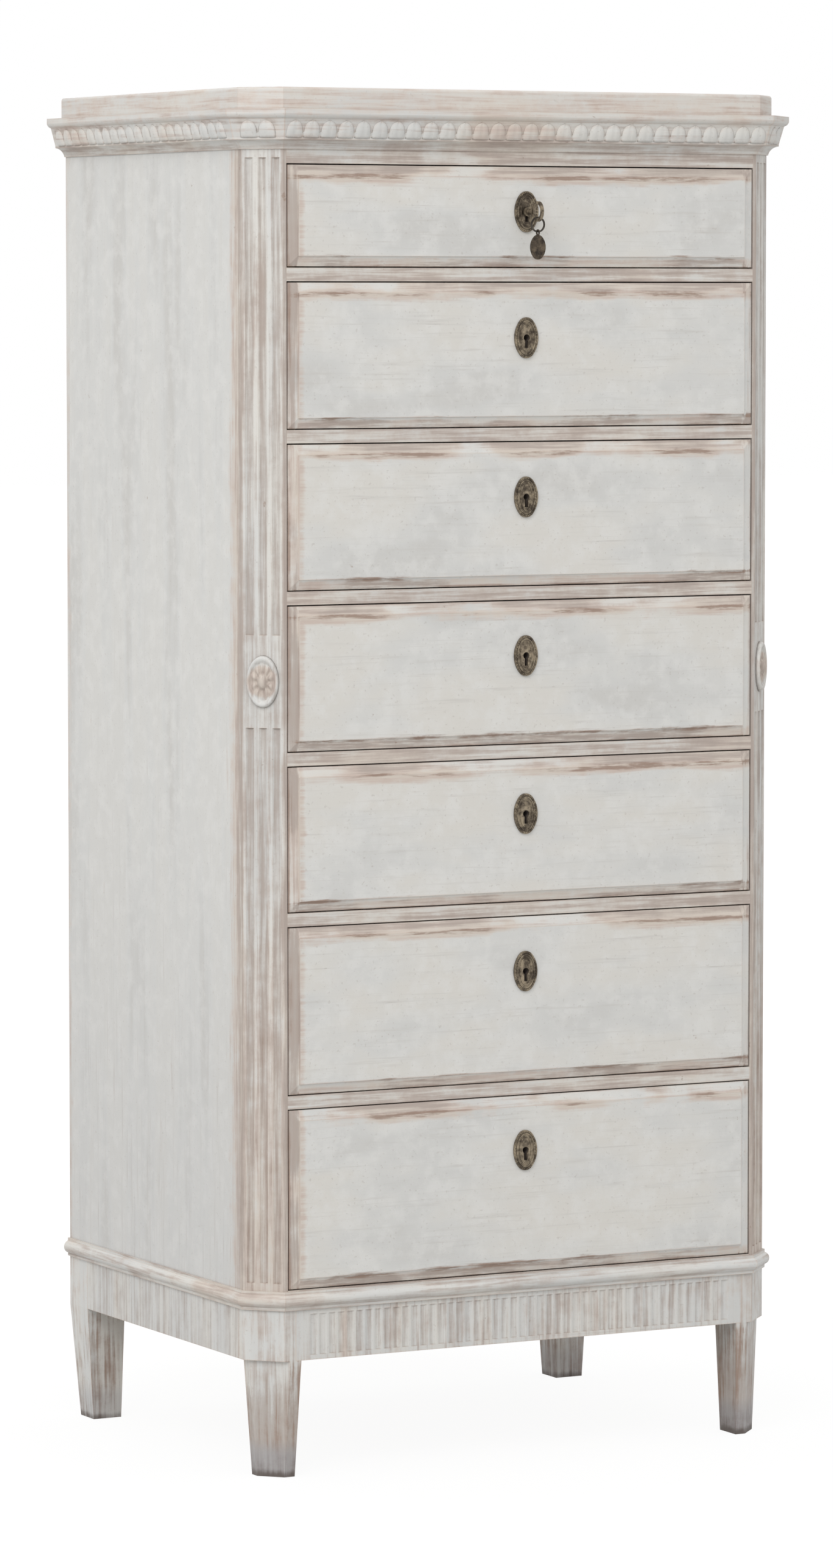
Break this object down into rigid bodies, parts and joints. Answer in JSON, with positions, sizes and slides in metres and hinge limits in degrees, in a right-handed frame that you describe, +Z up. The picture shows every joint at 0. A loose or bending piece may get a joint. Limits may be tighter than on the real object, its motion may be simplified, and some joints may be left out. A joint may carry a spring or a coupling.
{
  "type": "semainier",
  "caption": "Tall narrow painted chest of drawers with canted fluted corners, a carved cornice, fielded lockable drawer fronts, a fluted apron and tapered legs.",
  "frame": {"origin": "on the floor, below the middle of the overall box, which includes the key", "axes": "+Z up, the drawer fronts face -Y, +X to the right of a person facing the fronts"},
  "size_m": [0.63, 0.47, 1.35],
  "materials": {
    "paint": "worn grey-white paint over a beige ground",
    "bare_pine": "bare aged pine",
    "aged_brass": "dark aged brass",
    "lock_iron": "dark iron",
    "dark_tag": "dark patinated brass"
  },
  "bodies": {
    "carcass": {"side_panel_left": "paint", "side_panel_right": "paint", "corner_post_left": "paint", "corner_post_right": "paint", "post_rosettes": "paint", "top_rail": "paint", "drawer_rails": "paint", "drawer_runners": "bare_pine", "drawer_guides": "bare_pine", "drawer_stops": "bare_pine", "bottom_board": "bare_pine", "sub_top": "bare_pine", "back_boards": "bare_pine", "top_board": "paint", "cornice": "paint", "plinth_moulding": "paint", "apron_front": "paint", "apron_sides": "paint", "apron_back": "bare_pine", "leg_front_left": "paint", "leg_front_right": "paint", "legs_rear": "paint"},
    "drawer_1": {"drawer_front_1": "paint", "drawer_box_1": "bare_pine", "escutcheon_1": "aged_brass", "lock_1": "lock_iron"},
    "bolt_1": {"lock_bolt_1": "lock_iron"},
    "drawer_2": {"drawer_front_2": "paint", "drawer_box_2": "bare_pine", "escutcheon_2": "aged_brass", "lock_2": "lock_iron"},
    "bolt_2": {"lock_bolt_2": "lock_iron"},
    "drawer_3": {"drawer_front_3": "paint", "drawer_box_3": "bare_pine", "escutcheon_3": "aged_brass", "lock_3": "lock_iron"},
    "bolt_3": {"lock_bolt_3": "lock_iron"},
    "drawer_4": {"drawer_front_4": "paint", "drawer_box_4": "bare_pine", "escutcheon_4": "aged_brass", "lock_4": "lock_iron"},
    "bolt_4": {"lock_bolt_4": "lock_iron"},
    "drawer_5": {"drawer_front_5": "paint", "drawer_box_5": "bare_pine", "escutcheon_5": "aged_brass", "lock_5": "lock_iron"},
    "bolt_5": {"lock_bolt_5": "lock_iron"},
    "drawer_6": {"drawer_front_6": "paint", "drawer_box_6": "bare_pine", "escutcheon_6": "aged_brass", "lock_6": "lock_iron"},
    "bolt_6": {"lock_bolt_6": "lock_iron"},
    "drawer_7": {"drawer_front_7": "paint", "drawer_box_7": "bare_pine", "escutcheon_7": "aged_brass", "lock_7": "lock_iron"},
    "bolt_7": {"lock_bolt_7": "lock_iron"},
    "key": {"key": "aged_brass"},
    "key_ring": {"key_ring": "lock_iron"},
    "key_tag": {"key_tag": "dark_tag"}
  },
  "joints": [
    {"name": "drawer_1_slide", "type": "slide", "parent": "carcass", "child": "drawer_1", "axis": [0, -1, 0], "range_m": [0, 0.28]},
    {"name": "bolt_1_throw", "type": "slide", "parent": "drawer_1", "child": "bolt_1", "axis": [0, 0, 1], "range_m": [0, 0.008]},
    {"name": "drawer_2_slide", "type": "slide", "parent": "carcass", "child": "drawer_2", "axis": [0, -1, 0], "range_m": [0, 0.28]},
    {"name": "bolt_2_throw", "type": "slide", "parent": "drawer_2", "child": "bolt_2", "axis": [0, 0, 1], "range_m": [0, 0.008]},
    {"name": "drawer_3_slide", "type": "slide", "parent": "carcass", "child": "drawer_3", "axis": [0, -1, 0], "range_m": [0, 0.28]},
    {"name": "bolt_3_throw", "type": "slide", "parent": "drawer_3", "child": "bolt_3", "axis": [0, 0, 1], "range_m": [0, 0.008]},
    {"name": "drawer_4_slide", "type": "slide", "parent": "carcass", "child": "drawer_4", "axis": [0, -1, 0], "range_m": [0, 0.28]},
    {"name": "bolt_4_throw", "type": "slide", "parent": "drawer_4", "child": "bolt_4", "axis": [0, 0, 1], "range_m": [0, 0.008]},
    {"name": "drawer_5_slide", "type": "slide", "parent": "carcass", "child": "drawer_5", "axis": [0, -1, 0], "range_m": [0, 0.28]},
    {"name": "bolt_5_throw", "type": "slide", "parent": "drawer_5", "child": "bolt_5", "axis": [0, 0, 1], "range_m": [0, 0.008]},
    {"name": "drawer_6_slide", "type": "slide", "parent": "carcass", "child": "drawer_6", "axis": [0, -1, 0], "range_m": [0, 0.28]},
    {"name": "bolt_6_throw", "type": "slide", "parent": "drawer_6", "child": "bolt_6", "axis": [0, 0, 1], "range_m": [0, 0.008]},
    {"name": "drawer_7_slide", "type": "slide", "parent": "carcass", "child": "drawer_7", "axis": [0, -1, 0], "range_m": [0, 0.28]},
    {"name": "bolt_7_throw", "type": "slide", "parent": "drawer_7", "child": "bolt_7", "axis": [0, 0, 1], "range_m": [0, 0.008]},
    {"name": "key_turn", "type": "hinge", "parent": "drawer_1", "child": "key", "pos_m": [0, -0.2007, 1.232], "axis": [0, -1, 0], "range_deg": [0, 90]},
    {"name": "ring_swing", "type": "hinge", "parent": "key", "child": "key_ring", "pos_m": [0, -0.225, 1.2235], "axis": [0, -1, 0], "range_deg": [-90, 0]},
    {"name": "tag_swing", "type": "hinge", "parent": "key_ring", "child": "key_tag", "pos_m": [0, -0.225, 1.21155], "axis": [1, 0, 0], "range_deg": [-25, 25]}
  ],
  "couplings": [
    {"joint": "bolt_1_throw", "follows": "key_turn", "m_per_rad": 0.00509},
    {"joint": "ring_swing", "follows": "key_turn", "ratio": -1}
  ]
}
